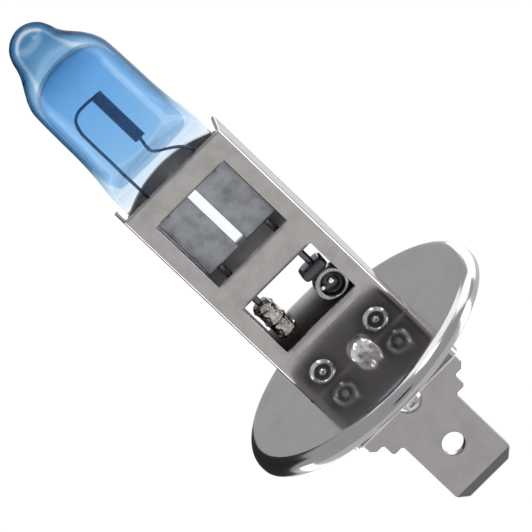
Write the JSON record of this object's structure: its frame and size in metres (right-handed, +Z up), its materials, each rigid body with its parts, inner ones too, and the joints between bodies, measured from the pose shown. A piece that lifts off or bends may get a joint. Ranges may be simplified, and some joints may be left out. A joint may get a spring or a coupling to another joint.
{
  "type": "headlight bulb",
  "caption": "Halogen headlight bulb: blue-tinted quartz tube with a coiled filament, windowed sheet-metal clamp, round flange and a flat blade terminal with a latch hole.",
  "frame": {"origin": "centre of the flange's front face, the face the lamp seats against", "axes": "+Z up the bulb's axis to the glass tip, X across the flat of the clamp and blade, -Y the side whose clamp plate carries the side flanges"},
  "size_m": [0.025, 0.025, 0.0575],
  "materials": {
    "quartz_tinted": "clear blue coating fading to clear",
    "quartz_clear": "clear, pressed",
    "tungsten": "dark drawn wire",
    "molybdenum": "thin dull foil",
    "lead_wire": "drawn wire",
    "clamp_steel": "satin stamped sheet",
    "weld_steel": "bright fused metal",
    "flange_steel": "satin stamped sheet",
    "tin_plate": "satin plated blade",
    "insulator_ceramic": "matt off-white",
    "bead_ceramic": "dark glossy",
    "mica": "dull sheet"
  },
  "bodies": {
    "root": {"quartz_envelope": "quartz_tinted", "pinch_seal": "quartz_clear", "filament": "tungsten", "long_lead": "tungsten", "short_lead": "tungsten", "foil_left": "molybdenum", "foil_right": "molybdenum", "outer_lead_ground": "lead_wire", "outer_lead_live": "lead_wire", "ground_sleeve": "lead_wire", "feed_bead": "bead_ceramic", "feed_eyelet": "lead_wire", "eyelet_plug": "bead_ceramic", "clamp_front": "clamp_steel", "clamp_rear": "clamp_steel", "weld_spots": "weld_steel", "side_welds": "weld_steel", "flange": "flange_steel", "base_tabs": "flange_steel", "collar": "flange_steel", "insulator": "insulator_ceramic", "insulating_washer": "mica", "link_strap": "lead_wire", "terminal_blade": "tin_plate", "terminal_rivet": "weld_steel"}
  },
  "joints": []
}
